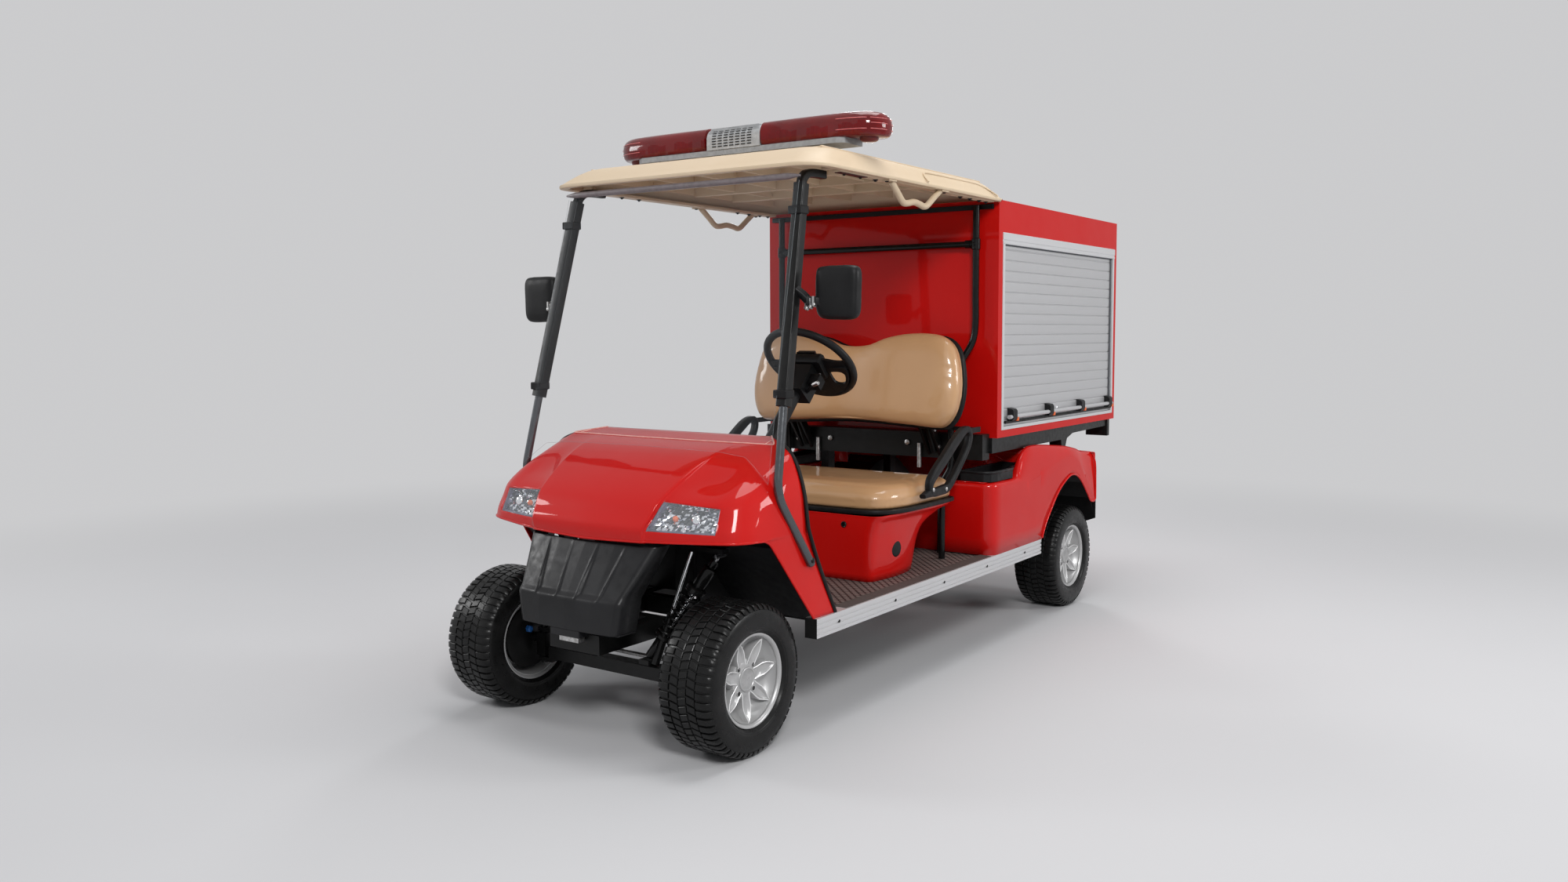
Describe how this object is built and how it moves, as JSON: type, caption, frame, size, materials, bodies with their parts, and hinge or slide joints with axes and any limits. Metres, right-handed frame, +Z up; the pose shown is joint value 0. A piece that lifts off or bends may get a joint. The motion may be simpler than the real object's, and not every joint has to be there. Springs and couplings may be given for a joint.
{
  "type": "electric fire response cart",
  "caption": "Open two-seat electric utility cart with a roof, a windshield, a light bar and a closed equipment box with roller shutters; the wheels roll and steer and the seat lifts.",
  "frame": {"origin": "on the ground under the middle of the cart's box", "axes": "+X to the cart's left side, -Y forwards, +Z up"},
  "size_m": [1.438, 3.185, 1.988],
  "materials": {
    "black_steel": "satin black powder coat",
    "floor_rubber": "brown-grey rubber mat with a raised diamond pattern",
    "aluminium": "brushed and clear-anodised extrusion",
    "battery_case": "moulded case",
    "tyre_rubber": "black road tyre",
    "rim_silver": "silver painted cast alloy",
    "black_plastic": "moulded satin plastic",
    "red_paint": "glossy red moulded body",
    "red_box_paint": "glossy red painted sheet",
    "lamp_glass": "clear lens over a faceted chrome reflector",
    "tail_red": "red lamp lens",
    "seat_vinyl": "tan glossy vinyl",
    "acrylic": "clear acrylic sheet",
    "roof_cream": "beige moulded plastic",
    "bar_grey": "grey moulded plastic",
    "lens_red": "translucent dark red lens"
  },
  "bodies": {
    "chassis": {"armrests": "black_plastic", "battery_pack": "battery_case", "box_subframe": "black_steel", "chassis_frame": "black_steel", "cross_members": "black_steel", "dashboard": "black_plastic", "equipment_box": "red_box_paint", "floor_mat": "floor_rubber", "front_apron": "black_plastic", "front_axle": "black_steel", "front_cowl": "red_paint", "front_struts": "black_steel", "grab_handles": "roof_cream", "headlamps": "lamp_glass", "light_bar_body": "bar_grey", "light_bar_lenses": "lens_red", "mirrors": "black_steel", "pedals": "black_steel", "rear_axle": "black_steel", "rear_body": "red_paint", "roof": "roof_cream", "seat_back": "seat_vinyl", "seat_back_frame": "black_steel", "seat_base": "red_paint", "shutter_frames": "aluminium", "shutters": "aluminium", "sills": "aluminium", "springs": "black_steel", "steering_column": "black_plastic", "storage_tray": "black_plastic", "tail_lamps": "tail_red", "wheel_liners": "black_plastic", "windshield": "acrylic"},
    "wheel_front_left": {"tyre_front_left": "tyre_rubber", "rim_front_left": "rim_silver"},
    "wheel_front_right": {"tyre_front_right": "tyre_rubber", "rim_front_right": "rim_silver"},
    "wheel_rear_left": {"tyre_rear_left": "tyre_rubber", "rim_rear_left": "rim_silver"},
    "wheel_rear_right": {"tyre_rear_right": "tyre_rubber", "rim_rear_right": "rim_silver"},
    "knuckle_left": {"knuckle_left": "black_steel"},
    "knuckle_right": {"knuckle_right": "black_steel"},
    "tie_rod": {"tie_rod": "black_steel"},
    "steering_wheel": {"steering_wheel": "black_plastic"},
    "seat_lid": {"seat_cushion": "seat_vinyl", "seat_pan": "black_plastic"}
  },
  "joints": [
    {"name": "steering_wheel_turn", "type": "hinge", "parent": "chassis", "child": "steering_wheel", "pos_m": [0.272, -0.656, 1.149], "axis": [0, 0.6756, 0.7373], "range_deg": [-360, 360]},
    {"name": "steer_left", "type": "hinge", "parent": "chassis", "child": "knuckle_left", "pos_m": [0.33, -1.361, 0.23], "axis": [0, 0, 1], "range_deg": [-30, 30]},
    {"name": "steer_right", "type": "hinge", "parent": "chassis", "child": "knuckle_right", "pos_m": [-0.33, -1.361, 0.23], "axis": [0, 0, 1], "range_deg": [-30, 30]},
    {"name": "tie_rod_swing", "type": "hinge", "parent": "knuckle_left", "child": "tie_rod", "pos_m": [0.33, -1.251, 0.2], "axis": [0, 0, 1], "range_deg": [-30, 30]},
    {"name": "spin_front_left", "type": "hinge", "parent": "knuckle_left", "child": "wheel_front_left", "pos_m": [0.459, -1.361, 0.23], "axis": [1, 0, 0], "continuous": true},
    {"name": "spin_front_right", "type": "hinge", "parent": "knuckle_right", "child": "wheel_front_right", "pos_m": [-0.459, -1.361, 0.23], "axis": [1, 0, 0], "continuous": true},
    {"name": "spin_rear_left", "type": "hinge", "parent": "chassis", "child": "wheel_rear_left", "pos_m": [0.481, 1.041, 0.23], "axis": [1, 0, 0], "continuous": true},
    {"name": "spin_rear_right", "type": "hinge", "parent": "chassis", "child": "wheel_rear_right", "pos_m": [-0.481, 1.041, 0.23], "axis": [1, 0, 0], "continuous": true},
    {"name": "seat_lift", "type": "hinge", "parent": "chassis", "child": "seat_lid", "pos_m": [0, 0.024, 0.598], "axis": [-1, 0, 0], "range_deg": [0, 55]}
  ],
  "couplings": [
    {"joint": "steer_left", "follows": "steering_wheel_turn", "ratio": 0.083333},
    {"joint": "steer_right", "follows": "steering_wheel_turn", "ratio": 0.083333},
    {"joint": "tie_rod_swing", "follows": "steering_wheel_turn", "ratio": -0.083333}
  ]
}
